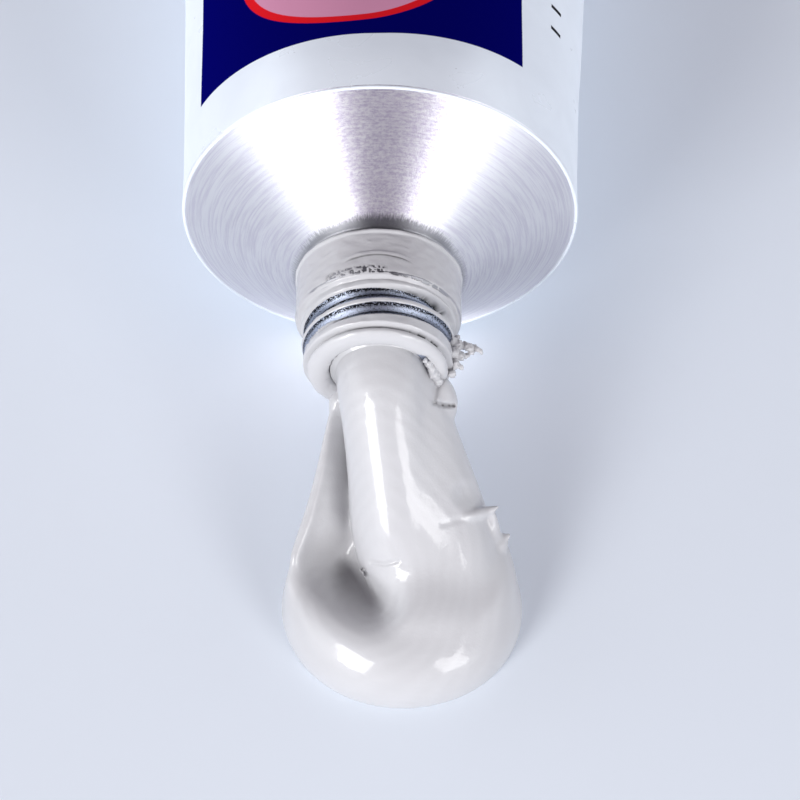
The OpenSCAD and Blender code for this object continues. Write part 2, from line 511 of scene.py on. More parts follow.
def makeFold(across=120):
    line, thick = foldLine()
    width = pressedWidth - 2 * foldSizes["inset"]
    deselectAll()
    bpy.ops.mesh.primitive_grid_add(x_subdivisions=across, y_subdivisions=len(line) - 1, size=2)
    fold = bpy.context.object
    layer = fold.data.uv_layers.new(name="surfaceMap")
    for vertex in fold.data.vertices:
        side = vertex.co.x
        back, high = line[round((vertex.co.y + 1) / 2 * (len(line) - 1))]
        crimp = foldSizes["crimpDepth"] * math.sin(2 * math.pi * side * width / 2 / foldSizes["crimpPitch"])
        crimp *= smoothStep(0.6, 1.2, back) * (1 - smoothStep(3.2, 3.9, back))
        z = bodySizes["pressedThickness"] / 2 + high + crimp * min(1, 2 * high)
        vertex.co = (side * width / 2, rimY + bodySizes["length"] + back, z)
    for loop in fold.data.loops:
        co = fold.data.vertices[loop.vertex_index].co
        layer.data[loop.index].uv = (co.x / 100, (co.y - rimY) / 100)
    cleanMesh(fold)
    applyModifier(fold, "SOLIDIFY", thickness=thick, offset=0.0)
    applyModifier(fold, "BEVEL", width=0.03, segments=2, limit_method="ANGLE")
    return fold


# Turned aluminium of the shoulder and neck: fine rings, a dull grain, painted shade in the corner round the
# collar, and grime in the thread.
metalFinish = {
    "colour": (0.9, 0.895, 0.92, 1),
    "grain": (0.6, 0.55, 0.68, 1),
    # the next colour is painted shade, for the corner round the collar's foot
    "paintedCornerShade": (0.13, 0.135, 0.145, 1),
    "threadGrime": (0.54, 0.59, 0.71, 1),
    "black": (0.012, 0.012, 0.014, 1),
    "roughness": 0.42,
    "anisotropy": 0.92,
    "ringDepth": 0.6,
    "grainDepth": 0.4,
}


def makeMetal(finish):
    material, tree, shader = newMaterial("turnedAluminium", Metallic=1.0, Anisotropic=finish["anisotropy"])
    shader.inputs["Anisotropic Rotation"].default_value = 0.25
    place = millimetres(tree)
    centred = addNode(tree, "Mapping", {"Vector": place, "Location": (0, -rimY, -axisZ)}).outputs["Vector"]
    parts = addNode(tree, "SeparateXYZ", {"Vector": centred})
    radius = lengthOf(tree, combine(tree, X=parts.outputs["X"], Z=parts.outputs["Z"]))
    up = times(tree, parts.outputs["Y"], -1.0)
    # rings: the noise changes fast along the radius and the axis, and slowly round them
    angle = maths(tree, "ARCTAN2", parts.outputs["X"], parts.outputs["Z"])
    ringPlace = combine(tree, X=times(tree, radius, 9.0), Y=times(tree, up, 9.0), Z=times(tree, angle, 2.6))
    rings = noiseOver(tree, ringPlace, 4.0, 0.7)
    grain, streaks = addGrain(tree, place, 14.0, 0.7)
    height = plus(tree, times(tree, rings, finish["ringDepth"]), times(tree, grain, finish["grainDepth"]))
    addBump(tree, height, 0.35, 0.00006, shader.inputs["Normal"])
    onNeck = rise(tree, up, collarEnd - 0.05, collarEnd + 0.1)
    roughness = plus(tree, finish["roughness"] - 0.08, times(tree, streaks, 0.16))
    tree.links.new(plus(tree, roughness, times(tree, onNeck, 0.15)), shader.inputs["Roughness"])
    # fine strokes that fray the edge of the painted corner shade
    brushPlace = combine(tree, X=times(tree, radius, 3.0), Y=times(tree, angle, 55.0))
    brush = noiseOver(tree, brushPlace, 4.0, 0.7)
    # sparkles: short strokes round the axis near the top, and long ones at the sides. The grain is denser and
    # darker on the top than at the sides: partly real grain, partly painted shade standing for the dark
    # reflection on the cone's top.
    sparkPlace = combine(tree, X=times(tree, radius, 9.0), Y=times(tree, angle, 26.0))
    strokes = times(tree, rise(tree, noiseOver(tree, sparkPlace, 5.0, 0.8), 0.38, 0.6), 0.75)
    sparkAndTopShade = plus(tree, strokes, times(tree, rise(tree, rings, 0.4, 0.6), 0.25))
    brushed = plus(tree, times(tree, rise(tree, rings, 0.35, 0.6), 0.4), 0.6)
    upward = maths(tree, "COSINE", angle)
    sparkAndTopShade = blendLevels(tree, rise(tree, upward, 0.8, 0.95), brushed, sparkAndTopShade)
    topSide = rise(tree, upward, 0.35, 1.0)
    # painted shade: darker in the corner round the collar's foot, wider and darker on the top; down in the
    # thread, grime, and black along the rear edge of each bare groove
    frayed = plus(tree, radius, times(tree, minus(tree, brush, 0.5), 0.7))
    frayed = minus(tree, frayed, times(tree, topSide, 0.33))
    collar = shoulderSizes["collarRadius"]
    corner = minus(tree, 1.0, rise(tree, frayed, collar, collar + 0.4))
    corner = times(tree, corner, plus(tree, 0.5, times(tree, topSide, 0.5)))
    paintedCornerShade = times(tree, corner, 0.9)
    winding = plus(tree, up, times(tree, angle, shoulderSizes["pitch"] / (2 * math.pi)))
    rear = larger(tree, band(tree, winding, 6.7, 6.9, 0.05), band(tree, winding, 7.65, 7.84, 0.05))
    colour = blendColours(tree, sparkAndTopShade, finish["grain"], finish["colour"])
    colour = blendColours(tree, paintedCornerShade, colour, finish["paintedCornerShade"])
    colour = blendColours(tree, onNeck, colour, finish["threadGrime"])
    specks = rise(tree, grain, 0.62, 0.5)
    rear = larger(tree, rear, times(tree, rise(tree, grain, 0.46, 0.36), 0.7))
    colour = blendColours(tree, times(tree, times(tree, rear, specks), onNeck), colour, finish["black"])
    tree.links.new(colour, shader.inputs["Base Color"])
    tangent = addNode(tree, "Tangent", direction_type="UV_MAP", uv_map="surfaceMap")
    tree.links.new(tangent.outputs["Tangent"], shader.inputs["Tangent"])
    return material


# White enamel of the body with its print: a navy panel with a disc and bars, and plain graduations.
printSizes = {
    "panelLeft": -10.35,
    "panelRight": 7.3,
    "panelFrom": 3.62,
    "panelSlant": 0.03,
    "panelTo": 71.0,
    "discAt": (-1.7, 10.2),
    "discRadius": 5.1,
    "discEdge": 0.45,
    "barFrom": 20.0,
    "barTo": 60.0,
    "wideBar": (-6.2, -3.6),
    "thinBars": ((-1.6, -0.6), (1.0, 1.5)),
    "ticksAt": 9.5,
    "tickLength": 0.9,
    "tickPitch": 1.6,
    "tickWidth": (0.5, 0.75),
    "tickRows": (7.6, 66.0),
    "sharpness": 0.03,
}
printInks = {
    "enamel": (0.79, 0.84, 0.9, 1),
    "shade": (0.62, 0.66, 0.72, 1),
    "navy": (0.001, 0.001, 0.105, 1),
    "red": (0.72, 0.012, 0.02, 1),
    "pink": (0.64, 0.28, 0.42, 1),
    "black": (0.02, 0.02, 0.025, 1),
}


def makeEnamel(sizes, inks):
    material, tree, shader = newMaterial("printedEnamel")
    shader.inputs["Specular IOR Level"].default_value = 0.0
    spot = addNode(tree, "UVMap", uv_map="surfaceMap").outputs["UV"]
    spread = addNode(tree, "Mapping", {"Vector": spot, "Scale": (100, 100, 100)})
    parts = addNode(tree, "SeparateXYZ", {"Vector": spread.outputs["Vector"]})
    across, back = parts.outputs["X"], parts.outputs["Y"]
    grain, streaks = addGrain(tree, millimetres(tree), 9.0, 0.35, detail=4.0)
    worn = times(tree, minus(tree, grain, 0.5), 0.05)
    across = plus(tree, across, worn)
    panelBack = minus(tree, back, times(tree, across, sizes["panelSlant"]))
    panel = times(tree, band(tree, across, sizes["panelLeft"], sizes["panelRight"]),
                  band(tree, panelBack, sizes["panelFrom"], sizes["panelTo"]))
    reach = lengthOf(tree, combine(tree, X=minus(tree, across, sizes["discAt"][0]),
                                   Y=minus(tree, back, sizes["discAt"][1])))

    def within(radius):
        return minus(tree, 1.0, rise(tree, reach, radius - sizes["sharpness"], radius + sizes["sharpness"]))

    rim = within(sizes["discRadius"] + sizes["discEdge"])
    disc = within(sizes["discRadius"])
    barRange = band(tree, back, sizes["barFrom"], sizes["barTo"])
    wideBar = times(tree, barRange, band(tree, across, *sizes["wideBar"]))
    thinBars = times(tree, barRange, plus(tree, *[band(tree, across, *bar) for bar in sizes["thinBars"]]))
    tickRow = maths(tree, "MODULO", back, sizes["tickPitch"])
    ticks = times(tree, band(tree, tickRow, *sizes["tickWidth"]),
                  band(tree, across, sizes["ticksAt"], sizes["ticksAt"] + sizes["tickLength"]))
    ticks = times(tree, ticks, band(tree, back, *sizes["tickRows"]))
    shade = times(tree, rise(tree, streaks, 0.42, 0.7), 0.16)
    colour = blendColours(tree, shade, inks["enamel"], inks["shade"])
    prints = [(panel, "navy"), (rim, "red"), (disc, "pink"), (wideBar, "pink"), (thinBars, "enamel"),
              (ticks, "black")]
    for mask, ink in prints:
        colour = blendColours(tree, mask, colour, inks[ink])
    tree.links.new(colour, shader.inputs["Base Color"])
    printed = larger(tree, panel, ticks)
    metal = times(tree, minus(tree, 1.0, printed), 0.2)
    tree.links.new(metal, shader.inputs["Metallic"])
    tree.links.new(plus(tree, times(tree, streaks, 0.2), 0.2), shader.inputs["Roughness"])
    height = plus(tree, times(tree, grain, 0.15), times(tree, printed, 0.3))
    addBump(tree, height, 0.12, 0.00006, shader.inputs["Normal"])
    return material


turnedAluminium = makeMetal(metalFinish)
printedEnamel = makeEnamel(printSizes, printInks)

bodyShell = joinPieces(makeBody(), makeFold(), makeEdgeBead())
bodyShell.data.materials.append(printedEnamel)
turnedEnd = joinPieces(makeShoulder(), makeThread())
turnedEnd.data.materials.append(turnedAluminium)
aluminiumTube = joinPieces(turnedEnd, bodyShell)
toFrame(aluminiumTube, "aluminiumTube", None, smoothAngle=35)
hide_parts("tube")


# Paste: a glossy light grey, soft and wet, with faint stir marks.
pasteFinish = {
    "colour": (0.54, 0.54, 0.555, 1),
    "thinFilm": (0.46, 0.455, 0.47, 1),
    # black for the film's flecks, and for painted shade on it
    "flecksAndShade": (0.02, 0.02, 0.022, 1),
    "roughness": 0.38,
    "stirCentre": (-0.3, mouthY - 8.2, 3.0),
}


def makePaste(finish, name, film=False):
    material, tree, shader = newMaterial(name)
    shader.inputs["Specular IOR Level"].default_value = 0.3
    shader.inputs["Coat Roughness"].default_value = 0.06
    shader.inputs["Coat Weight"].default_value = 0.55
    place = millimetres(tree)
    grain, streaks = addGrain(tree, place, 5.0, 0.8, detail=4.0)
    x, y, z = finish["stirCentre"]
    centred = addNode(tree, "Mapping", {"Vector": place, "Location": (-x, -y, -z)}).outputs["Vector"]
    marks = {"Vector": centred, "Scale": 0.55, "Distortion": 5.0, "Detail": 3.0, "Detail Scale": 0.6}
    stir = addNode(tree, "TexWave", marks, wave_type="RINGS", rings_direction="Z").outputs["Fac"]
    tone = plus(tree, times(tree, streaks, 0.5), times(tree, stir, 0.25))
    darker = tuple(0.93 * c for c in finish["colour"][:3]) + (1,)
    colour = blendColours(tree, tone, darker, finish["colour"])
    if film:
        thin = addNode(tree, "Attribute", attribute_name="thin").outputs["Fac"]
        # the film's black marks: real flecks, and painted shade
        flecksAndShade = addNode(tree, "Attribute", attribute_name="flecksAndShade").outputs["Fac"]
        colour = blendColours(tree, thin, colour, finish["thinFilm"])
        colour = blendColours(tree, flecksAndShade, colour, finish["flecksAndShade"])
    tree.links.new(colour, shader.inputs["Base Color"])
    roughness = plus(tree, finish["roughness"] - 0.06, times(tree, grain, 0.14))
    tree.links.new(roughness, shader.inputs["Roughness"])
    height = plus(tree, times(tree, stir, 0.25), times(tree, grain, 0.35))
    addBump(tree, height, 0.25, 0.00012, shader.inputs["Normal"])
    addBump(tree, height, 0.1, 0.00012, shader.inputs["Coat Normal"])
    return material


pasteSurface = makePaste(pasteFinish, "paste")
filmSurface = makePaste(pasteFinish, "pasteFilm", film=True)


# Squeezed-out paste: lumps along curves, melted together. Each point is x, way out from the mouth, z, radius.
moundShapes = {
    "foot": [(3.6, 4.6, 0.6, 2.3), (4.4, 6.4, 0.6, 2.5), (4.4, 8.2, 0.6, 2.55), (3.1, 9.6, 0.6, 2.55),
             (1.0, 10.0, 0.6, 2.6), (-0.9, 9.6, 0.6, 2.4), (-2.3, 8.3, 0.6, 2.2), (-3.0, 6.7, 0.5, 1.75),
             (-2.8, 5.0, 0.6, 1.3)],
    "rim": [(4.3, 5.4, 2.1, 2.0), (4.95, 7.1, 1.75, 2.0), (3.75, 8.9, 1.5, 2.0), (1.25, 10.2, 1.2, 2.05),
            (-1.05, 9.6, 1.25, 1.9), (-2.6, 8.3, 1.5, 1.7), (-3.2, 7.0, 1.8, 1.4), (-3.1, 5.8, 1.7, 1.0)],
}
# The fold on the left hangs from the lip like a ribbon: from a thin edge its face falls away to the strand.
foldEdge = [(-1.95, -0.2, 8.3), (-2.5, 1.53, 7.08), (-2.9, 3.1, 6.0), (-3.35, 4.57, 5.05), (-4.0, 6.19, 4.0),
            (-4.45, 7.6, 3.15)]
foldRoot = [(-1.8, 0.5, 8.0), (-1.6, 1.3, 6.25), (-1.55, 2.3, 4.85), (-1.5, 3.5, 3.5), (-1.2, 4.95, 2.2),
            (-0.75, 6.3, 2.0)]
# each layer is a share of the way from the edge to the root, with its radius
foldLayers = [(0.0, 0.22), (0.2, 0.38), (0.4, 0.54), (0.6, 0.64), (0.8, 0.74), (1.0, 0.8)]
strandShapes = {
    "column": [(0.15, -0.7, 9.5, 2.15), (0.15, 0.3, 9.35, 2.1), (0.3, 1.2, 8.65, 2.05), (0.55, 2.3, 7.5, 2.1),
               (0.85, 3.4, 6.1, 2.25), (1.1, 4.4, 4.7, 2.45), (1.4, 5.2, 3.5, 2.55), (1.8, 6.1, 2.4, 2.5),
               (2.2, 7.1, 1.5, 2.4), (2.5, 8.0, 0.9, 2.2)],
    "middle": [(1.0, 0.3, 8.6, 1.8), (1.3, 1.6, 7.4, 2.0), (1.6, 2.8, 6.2, 2.1), (1.9, 4.0, 5.0, 2.3),
               (2.35, 5.4, 3.5, 2.35), (2.8, 6.6, 2.3, 2.3)],
    "rightFold": [(1.5, 0.6, 8.0, 1.75), (1.75, 1.6, 7.1, 1.9), (2.2, 2.8, 5.8, 2.1), (2.7, 4.0, 4.6, 2.25),
                  (3.2, 5.3, 3.4, 2.35), (3.5, 6.6, 2.2, 2.4), (3.5, 7.8, 1.4, 2.3)],
}
tipShapes = {
    "flap": [(2.4, -0.2, 9.5, 0.25), (2.8, 0.15, 8.8, 0.6), (2.85, 0.55, 8.1, 0.95), (2.7, 1.1, 7.4, 0.85),
             (2.3, 1.7, 6.6, 0.5)],
    "wave": [(4.06, 5.38, 5.7, 0.2), (4.5, 5.15, 5.5, 0.27), (4.9, 4.87, 5.2, 0.3), (5.3, 4.7, 5.2, 0.2),
             (5.66, 4.6, 5.35, 0.06)],
    "waveFoot": [(5.35, 4.84, 4.9, 0.2), (5.4, 5.0, 4.45, 0.34), (5.25, 5.2, 3.8, 0.55)],
    "smallTip": [(5.6, 5.4, 3.3, 0.55), (5.95, 5.2, 3.57, 0.25), (6.22, 5.15, 3.75, 0.06)],
}
moundFill = {"at": (1.9, 7.4, 1.8), "scale": (3.9, 3.6, 2.6)}
# hollows are pressed along a line, with a reach and a depth
moundHollows = [
    {"line": [(-1.9, 6.0, 2.4), (-1.1, 6.7, 2.1), (-0.2, 7.2, 2.0)], "reach": 2.1, "depth": 1.35},
    {"line": [(-1.2, 6.9, 2.0), (0.1, 7.6, 1.9)], "reach": 1.2, "depth": 1.0},
]
strandHollows = [
    {"line": [(4.1, 4.4, 6.1), (5.3, 4.0, 5.2)], "reach": 0.8, "depth": 0.3},
    {"line": [(-1.3, 6.5, 2.2), (-0.75, 6.95, 2.0), (-0.3, 7.45, 2.0)], "reach": 1.0, "depth": 0.7},
]
tipHollows = [
    {"line": [(2.6, 0.87, 8.4), (3.05, 1.0, 8.35), (3.5, 0.97, 8.3)], "reach": 0.14, "depth": 0.4},
    {"line": [(3.04, 0.14, 9.5), (2.7, 0.55, 9.2), (2.57, 1.0, 8.9)], "reach": 0.25, "depth": 0.2},
    {"line": [(-0.66, 6.83, 3.2), (-0.54, 7.0, 3.1)], "reach": 0.16, "depth": 0.9},
    {"line": [(-0.25, 7.25, 4.6), (0.35, 7.35, 4.6), (0.95, 7.2, 4.7)], "reach": 0.14, "depth": 0.1},
    {"line": [(3.0, 5.85, 5.8), (3.6, 5.6, 5.7), (4.1, 5.45, 5.65)], "reach": 0.25, "depth": 0.03},
]
# the crease between the fold and the strand
crevice = [(-1.8, 0.2, 8.4), (-1.6, 1.6, 6.9), (-1.5, 3.0, 5.3), (-1.3, 4.4, 4.2), (-0.9, 5.6, 3.6),
           (-0.5, 6.7, 3.3), (-0.1, 7.4, 2.9)]
# where the strand has sunk into the mound nothing but a soft slope is left
sunkLines = [[(0.9, 7.6, 4.0), (2.4, 7.8, 4.0), (3.8, 7.4, 4.0)],
             [(2.6, 3.4, 6.8), (3.0, 5.0, 5.6), (3.2, 6.6, 4.6)]]
# the size of the remesh's cubes, and how many times each step smooths
beadFinish = {"voxel": 0.1, "melt": 60, "settle": 30, "blend": 60, "sink": 320, "last": 6}
# crumbs are x, way out, z, radius
crumbs = [
    (3.45, -1.6, 9.8, 0.22), (3.72, -1.5, 9.65, 0.26), (4.0, -1.58, 9.5, 0.2), (4.22, -1.42, 9.6, 0.2),
    (4.46, -1.52, 9.45, 0.15), (4.66, -1.36, 9.5, 0.13), (4.8, -1.28, 9.4, 0.1), (3.5, -1.1, 9.6, 0.28),
    (3.82, -1.0, 9.45, 0.22), (4.1, -1.12, 9.35, 0.14), (3.58, -0.6, 9.4, 0.22), (3.86, -0.5, 9.3, 0.13),
    (3.42, -0.2, 9.2, 0.2), (3.66, -1.85, 9.75, 0.15), (4.36, -1.24, 9.45, 0.13), (2.36, 0.05, 10.35, 0.2),
    (2.52, 0.1, 10.0, 0.26), (2.66, 0.16, 9.6, 0.26), (2.74, 0.24, 9.2, 0.27), (2.2, 0.1, 10.65, 0.13),
    (2.5, 0.26, 9.75, 0.18),
]


def pasteRope(points):
    deselectAll()
    bpy.ops.curve.primitive_nurbs_path_add()
    rope = bpy.context.object
    rope.data.splines.clear()
    spline = rope.data.splines.new("NURBS")
    spline.points.add(len(points) - 1)
    for spot, (x, out, z, radius) in zip(spline.points, points):
        spot.co = (x, mouthY - out, z, 1)
        spot.radius = radius
    spline.use_endpoint_u = True
    spline.order_u = 3
    rope.data.bevel_depth = 1.0
    rope.data.bevel_resolution = 10
    rope.data.resolution_u = 12
    rope.data.use_fill_caps = True
    bpy.ops.object.convert(target="MESH")
    for x, out, z, radius in (points[0], points[-1]):       # round ends
        rope = joinPieces(rope, pasteLump(x, out, z, (radius, radius, radius)))
    return rope


def pasteLump(x, out, z, scale):
    deselectAll()
    place = (x, mouthY - out, z)
    bpy.ops.mesh.primitive_ico_sphere_add(subdivisions=4, radius=1, location=place, scale=scale)
    bpy.ops.object.transform_apply()
    return bpy.context.object


def readPoints(piece):
    points = np.empty(len(piece.data.vertices) * 3, dtype=np.float32)
    piece.data.vertices.foreach_get("co", points)
    return points.reshape(-1, 3)


def soften(piece, passes, weight=None):
    # smooths everywhere, or as far as weight(points) says
    settings = {}
    if weight:
        group = piece.vertex_groups.new(name="soft")
        for index, share in enumerate(weight(readPoints(piece))):
            group.add([index], float(share), "REPLACE")
        settings["vertex_group"] = "soft"
    applyModifier(piece, "SMOOTH", factor=0.5, iterations=passes, **settings)
    piece.vertex_groups.clear()


def melt(piece, passes, weight=None, voxel=beadFinish["voxel"]):
    # makes one skin of the lumps and rounds the creases off
    applyModifier(piece, "REMESH", mode="VOXEL", voxel_size=voxel)
    soften(piece, passes, weight)


towardViewer = np.array((0, -0.567, 0.824))


def foldRopes():
    ropes = []
    for share, radius in foldLayers:
        points = []
        for k, (edge, root) in enumerate(zip(foldEdge, foldRoot)):
            x, out, z = [mixed(a, b, share) for a, b in zip(edge, root)]
            r = radius * (0.65 + 1.25 * k / (len(foldEdge) - 1))
            # the listed points lie on the face that the viewer sees
            points.append((x + r * (1 - share), out + towardViewer[1] * r, z - towardViewer[2] * r, r))
        ropes.append(pasteRope(points))
    return ropes


def fromLine(points, line, flat=False):
    # how far each point lies from a line of (x, way out, z); flat leaves out the way towards the viewer
    nearest = np.full(len(points), 99.0)
    for (x0, out0, z0), (x1, out1, z1) in zip(line, line[1:]):
        a, b = np.array((x0, mouthY - out0, z0)), np.array((x1, mouthY - out1, z1))
        away = points - a
        if flat:
            b = b - ((b - a) @ towardViewer) * towardViewer
            away = away - (away @ towardViewer)[:, None] * towardViewer
        k = np.clip(away @ (b - a) / ((b - a) @ (b - a)), 0, 1)
        nearest = np.minimum(nearest, np.linalg.norm(away - k[:, None] * (b - a), axis=1))
    return nearest


def easeIn(low, high, values):
    t = np.clip((values - low) / (high - low), 0, 1)
    return t * t * (3 - 2 * t)


def press(piece, hollow):
    # pushes the surface away from the viewer along a line, deepest on the line itself
    points = readPoints(piece)
    x, out, z = hollow["line"][0]
    near = 1 - np.minimum(1, fromLine(points, hollow["line"], flat=True) / hollow["reach"]) ** 2
    inFront = easeIn(-2.2, -1.2, (points - np.array((x, mouthY - out, z))) @ towardViewer)
    points -= hollow["depth"] * (near ** 2 * inFront)[:, None] * towardViewer
    piece.data.vertices.foreach_set("co", points.ravel())
    piece.data.update()


def keepEdge(points):
    # the thin edge of the fold keeps its shape
    return 0.15 + 0.85 * easeIn(0.3, 1.1, fromLine(points, foldEdge[:-1]))


def keepCrevice(points):
    return keepEdge(points) * easeIn(0.5, 1.5, fromLine(points, crevice))


def whereSunk(points):
    near = np.minimum(fromLine(points, sunkLines[0]), fromLine(points, sunkLines[1]))
    return (1 - easeIn(0.7, 2.2, near)) * easeIn(0.4, 1.4, fromLine(points, crevice))


def keepTips(points):
    ends = [[spot[:3] for spot in tipShapes[name][-2:]] for name in ("wave", "smallTip")]
    near = np.minimum(*[fromLine(points, end) for end in ends])
    return easeIn(0.1, 0.6, near) * keepEdge(points)


def makeBead():
    mound = joinPieces(*[pasteRope(points) for points in moundShapes.values()], *foldRopes(),
                       pasteLump(*moundFill["at"], moundFill["scale"]))
    melt(mound, beadFinish["melt"], keepEdge)
    for hollow in moundHollows:
        press(mound, hollow)
    soften(mound, beadFinish["settle"], keepEdge)
    bead = joinPieces(mound, *[pasteRope(points) for points in strandShapes.values()])
    melt(bead, beadFinish["blend"], keepCrevice)
    soften(bead, beadFinish["sink"], whereSunk)
    for hollow in strandHollows:
        press(bead, hollow)
    bead = joinPieces(bead, *[pasteRope(points) for points in tipShapes.values()])
    melt(bead, beadFinish["last"], keepTips)
    for hollow in tipHollows:
        press(bead, hollow)
    for vertex in bead.data.vertices:
        vertex.co.z = max(vertex.co.z, 0.0)
    return bead


pasteBead = makeBead()
toFrame(pasteBead, "pasteBead", pasteSurface)
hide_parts("paste_bead")


# Film of paste smeared over the collar, the thread and the lip.
# Knots are (way up from the rim, radius) at the top; further round they follow the thread.
filmKnots = [(3.74, 3.80), (3.79, 3.95), (3.88, 3.95), (4.0, 3.88), (6.1, 3.88), (6.3, 3.80), (6.42, 3.56),
             (6.5, 3.6), (6.66, 3.6), (6.76, 3.45), (6.84, 2.9), (7.26, 2.9), (7.36, 3.4), (7.46, 3.54),
             (7.6, 3.54), (7.7, 3.42), (7.78, 2.9), (8.06, 2.9), (8.16, 3.2), (8.3, 3.44), (8.7, 3.46),
             (8.80, 3.2), (8.84, 3.0), (8.88, 3.1), (8.94, 3.24)]
filmSizes = {
    "lipFrom": 0.12,
    "lipOut": 0.14,
    "lipRadius": 3.26,
    "boreAt": 2.24,
    "gapWidth": 0.32,
    "gapAngles": (52, 88),
    "filledThread": 3.38,
    "bareAngle": 62,
    "secondGroove": (7.72, 8.1),
    "blackRears": ((6.80, 6.9), (7.74, 7.84)),
    "lumpDepth": 0.03,
    "streakDepth": 0.006,
    "fineDepth": 0.004,
    "stepUp": 5.25,
    "stepHeight": 0.07,
    "lumpsUp": 4.5,
    "lumpsHeight": 0.06,
    "fleckSink": 0.08,
}


def knotRadius(up):
    if up <= filmKnots[0][0]:
        return filmKnots[0][1]
    for (u0, r0), (u1, r1) in zip(filmKnots, filmKnots[1:]):
        if up <= u1:
            return mixed(r0, r1, smoothStep(u0, u1, up))
    return filmKnots[-1][1]


def between(value, low, high, soft):
    return smoothStep(low - soft, low + soft, value) * (1 - smoothStep(high - soft, high + soft, value))


def filmPoint(up, turn):
    # radius of the film's outer face, how thin it is, and how black it is there (black flecks, and painted
    # shadow below the collar's step)
    s = filmSizes
    angle = 360 * turn
    a = 2 * math.pi * turn
    x, z = 3.5 * math.sin(a), 3.5 * math.cos(a)
    inThread = smoothStep(6.4, 6.6, up) * (1 - smoothStep(8.4, 8.7, up))
    winding = up + turn * inThread * (1 - smoothStep(70, 120, abs(angle)))
    radius = knotRadius(winding)
    lump = ripple(x / 0.45, up / 0.3, z / 0.45, seed=1)
    fine = ripple(x / 0.13, up / 0.1, z / 0.13, seed=7)
    streak = ripple(x / 2.2, up / 0.16, z / 2.2, seed=3)
    # the grooves are bare metal near the top and fill up with paste towards the sides
    bareWidth = s["bareAngle"] + 10 * ripple(0, up * 3, 0, seed=2)
    covered = smoothStep(bareWidth, bareWidth + 22, abs(angle - 6))
    if between(winding, *s["secondGroove"], 0.04) > 0.5:
        covered = max(covered, 0.85 * smoothStep(-22, -42, angle))
    if inThread > 0.5 and radius < s["filledThread"]:
        radius = mixed(radius, s["filledThread"], covered)
        radius += 0.07 * max(0, lump) + 0.05 * fine
    radius += s["lumpDepth"] * lump + s["streakDepth"] * streak + s["fineDepth"] * fine
    # collar: a curved step, and a low line of lumps behind it
    stepUp = s["stepUp"] + 0.0004 * angle * angle
    onStep = 1 - smoothStep(16, 26, abs(angle))
    radius += s["stepHeight"] * onStep * between(up, stepUp - 0.2, stepUp, 0.03)
    lumpsUp = s["lumpsUp"] + 0.0003 * (angle + 10) ** 2
    onLumps = between(up, lumpsUp - 0.06, lumpsUp + 0.06, 0.05)
    lumpy = s["lumpsHeight"] * max(0, ripple(x / 0.3, 0, z / 0.3, seed=9))
    radius += lumpy * onLumps * (1 - smoothStep(30, 50, abs(angle + 12)))
    # the film is thin over the collar and on the thread's flanks
    thin = smoothStep(3.98, 4.15, up) * (1 - smoothStep(6.3, 6.45, winding)) * (0.85 - 0.5 * max(0, lump))
    thin = max(thin, 0.75 * between(winding, 8.02, 8.26, 0.05), 0.5 * between(winding, 7.3, 7.4, 0.04))
    # black flecks: a row along the collar's front edge; a painted shadow line just below the collar's curved
    # step; and the crack behind the lip painted black
    speck = ripple(x / 0.1, up / 0.24, z / 0.1, seed=6) + 0.5 * ripple(x / 0.04, up / 0.06, z / 0.04, seed=16)
    row = between(up, 5.86, 6.2, 0.08) * between(angle, -36, 4, 4) * smoothStep(0.0, 0.2, speck)
    rightRow = between(up, 6.2, 6.3, 0.03) * between(angle, 12, 56, 5)
    row = max(row, rightRow * smoothStep(-0.4, 0.0, speck + streak))
    # painted shadow: a dark line just below the drop of the curved step
    step = 0.95 * onStep * between(up, stepUp, stepUp + 0.05, 0.03)
    crack = 0.55 * between(up, 8.82, 8.86, 0.02) * between(angle, -26, 30, 8)
    patches = smoothStep(-0.1, 0.1, ripple(x / 0.3, 0, z / 0.3, seed=12))
    crack = max(crack, between(up, 8.79, 8.88, 0.02) * between(angle, 26, 64, 5) * patches)
    # the rear edge of each bare groove is black
    rear = max(between(winding, *edge, 0.012) for edge in s["blackRears"])
    rear *= 1 - smoothStep(0, 0.3, covered)
    rear *= smoothStep(-0.6, -0.2, lump + fine)
    flecksAndShade = max(row, step, crack, rear)
    return radius - s["fleckSink"] * row, thin, flecksAndShade


